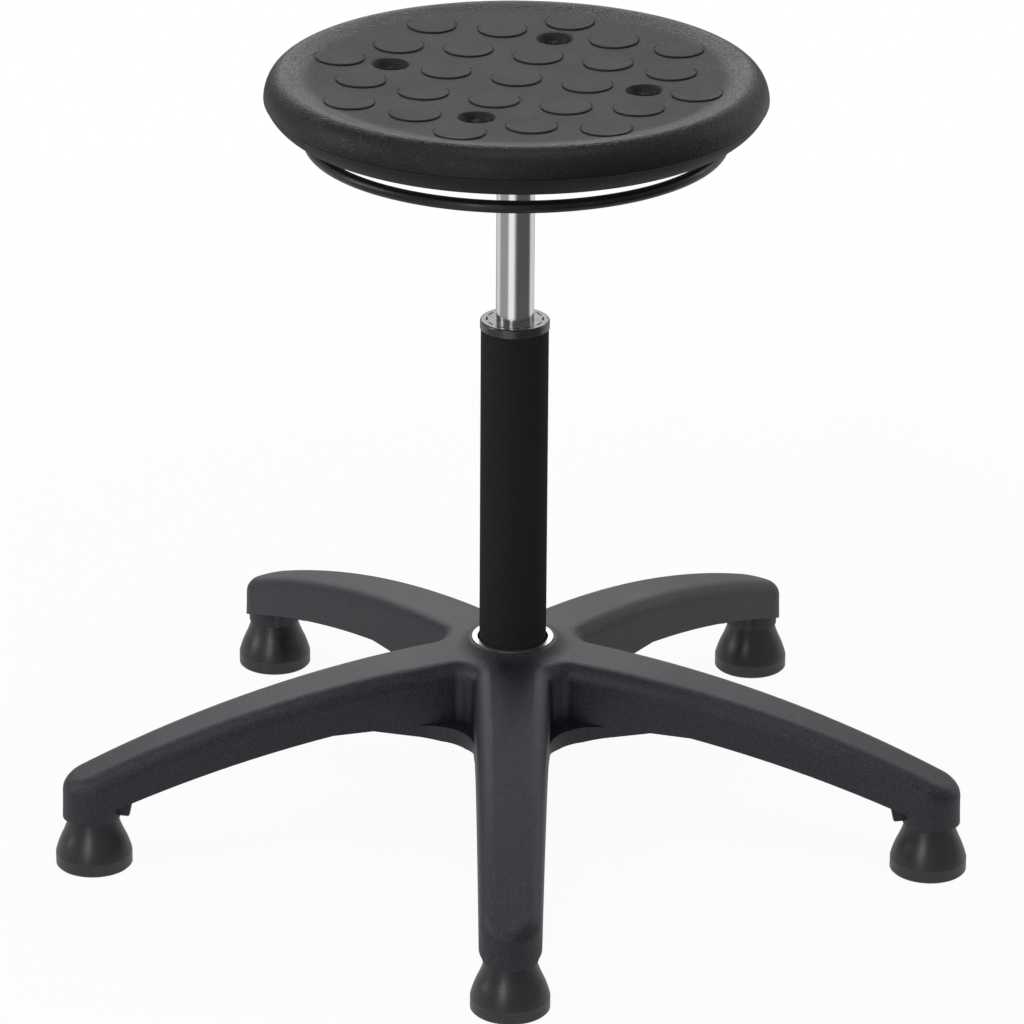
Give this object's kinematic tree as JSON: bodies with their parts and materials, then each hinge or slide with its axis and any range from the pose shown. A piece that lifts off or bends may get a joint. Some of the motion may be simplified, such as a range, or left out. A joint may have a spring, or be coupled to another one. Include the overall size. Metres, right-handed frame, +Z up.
{
  "type": "swivel stool",
  "caption": "Backless work stool: round studded foam seat on a gas lift, with a wire ring under the seat that frees the height and a moulded star base on bell-shaped glides.",
  "frame": {"origin": "on the swivel axis, at floor level under the hub", "axes": "+Z up along the swivel axis; -Y along the arm that points to the picture's viewer"},
  "size_m": [0.6748, 0.6445, 0.585],
  "materials": {
    "base_nylon": "fine moulded texture",
    "glide_plastic": "satin",
    "collar_plastic": "semi-gloss",
    "black_tube": "matte powder coat",
    "ring_black": "satin powder coat",
    "bright_steel": "polished",
    "plain_steel": "plain zinc",
    "brass_cage": "plain",
    "black_rubber": "matte",
    "plywood": "sanded",
    "seat_foam": "fine-grained integral skin"
  },
  "bodies": {
    "base": {"base_star": "base_nylon", "hub_ring": "plain_steel", "glide_1": "glide_plastic", "glide_2": "glide_plastic", "glide_3": "glide_plastic", "glide_4": "glide_plastic", "glide_5": "glide_plastic", "glide_stems": "plain_steel", "grip_rings": "plain_steel", "stand_tube": "black_tube", "guide_bush": "collar_plastic", "lower_race": "plain_steel"},
    "bearing": {"bearing_balls": "bright_steel", "ball_cage": "brass_cage"},
    "rod": {"upper_race": "plain_steel", "bumper": "black_rubber", "piston_rod": "bright_steel", "end_washer": "plain_steel", "end_clip": "plain_steel", "piston": "plain_steel", "piston_seal": "black_rubber", "piston_nut": "plain_steel"},
    "seat": {"gas_cylinder": "bright_steel", "pressure_tube": "plain_steel", "rod_guide": "collar_plastic", "rod_seal": "black_rubber", "valve_body": "plain_steel", "taper_socket": "black_tube", "seat_tray": "black_tube", "seat_board": "plywood", "tee_nuts": "plain_steel", "screw_washers": "plain_steel", "seat_screws": "plain_steel", "seat_cushion": "seat_foam"},
    "release": {"release_ring": "ring_black"},
    "valve": {"valve_pin": "plain_steel"}
  },
  "joints": [
    {"name": "seat_swivel", "type": "hinge", "parent": "base", "child": "rod", "pos_m": [0, 0, 0.08], "axis": [0, 0, 1], "continuous": true},
    {"name": "cage_orbit", "type": "hinge", "parent": "base", "child": "bearing", "pos_m": [0, 0, 0.075], "axis": [0, 0, 1], "continuous": true},
    {"name": "seat_height", "type": "slide", "parent": "rod", "child": "seat", "axis": [0, 0, 1], "range_m": [-0.1, 0.07]},
    {"name": "release_tilt", "type": "hinge", "parent": "seat", "child": "release", "pos_m": [0.05187, 0.02758, 0.5496], "axis": [0.4695, -0.8829, 0], "range_deg": [0, 3.5], "stiffness_Nm_per_rad": 6, "springref_deg": -8.59},
    {"name": "valve_press", "type": "slide", "parent": "seat", "child": "valve", "axis": [0, 0, -1], "range_m": [0, 0.004]}
  ],
  "couplings": [
    {"joint": "cage_orbit", "follows": "seat_swivel", "ratio": 0.5},
    {"joint": "valve_press", "follows": "release_tilt", "m_per_rad": 0.05875}
  ]
}
